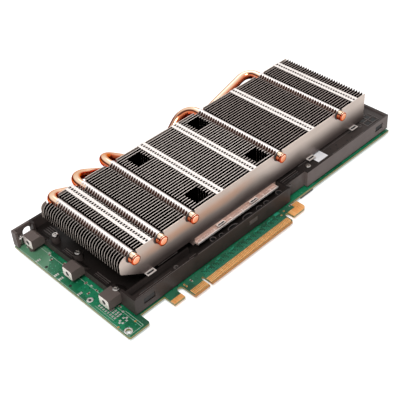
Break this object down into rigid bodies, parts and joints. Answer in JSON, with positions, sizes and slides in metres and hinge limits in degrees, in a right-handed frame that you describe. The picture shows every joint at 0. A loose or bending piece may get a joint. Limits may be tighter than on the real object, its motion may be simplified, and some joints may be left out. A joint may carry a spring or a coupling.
{
  "type": "passive accelerator card",
  "caption": "Full-length server accelerator card with a passive zipped-fin heat sink, looped copper heat pipes, black base plate and edge connector; no slot bracket or shroud.",
  "frame": {"origin": "under the middle of the card, on the flat surface it lies on", "axes": "+X runs along the card from the bracket end to the far end, +Y from the edge connector to the top edge, +Z from the back of the board to the top of the fins"},
  "size_m": [0.2476, 0.1116, 0.0392],
  "materials": {
    "board": "solder mask, semi-gloss",
    "gold": "gold plating",
    "base_plate": "black coating, satin",
    "steel": "plated steel",
    "heatsink_base": "milled",
    "copper": "bare copper",
    "fins": "bright stamped sheet",
    "package": "laminate package",
    "spreader": "nickel plated",
    "chip": "moulded package",
    "thermal_pad": "soft pad",
    "ferrite": "pressed ferrite",
    "can": "drawn can",
    "socket": "moulded",
    "label": "plain paper label"
  },
  "bodies": {
    "root": {"board": "board", "front_contacts": "gold", "rear_contacts": "gold", "retention_plating": "gold", "base_plate": "base_plate", "plate_screws": "steel", "board_screws": "steel", "heatsink_base": "heatsink_base", "contact_plate": "copper", "near_fin": "fins", "fin_stack": "fins", "far_fin": "fins", "fin_tabs": "fins", "pipe_collars": "fins", "fin_clips": "steel", "heat_pipes": "copper", "spring_screws": "steel", "screw_springs": "steel", "rear_brace": "steel", "processor_package": "package", "heat_spreader": "spreader", "front_memory": "chip", "rear_memory": "chip", "memory_pads": "thermal_pad", "inductors": "ferrite", "transistors": "chip", "transistor_pad": "thermal_pad", "capacitors": "can", "power_socket_8": "socket", "power_socket_6": "socket", "power_pins": "gold", "label": "label", "rear_chip": "chip"}
  },
  "joints": []
}
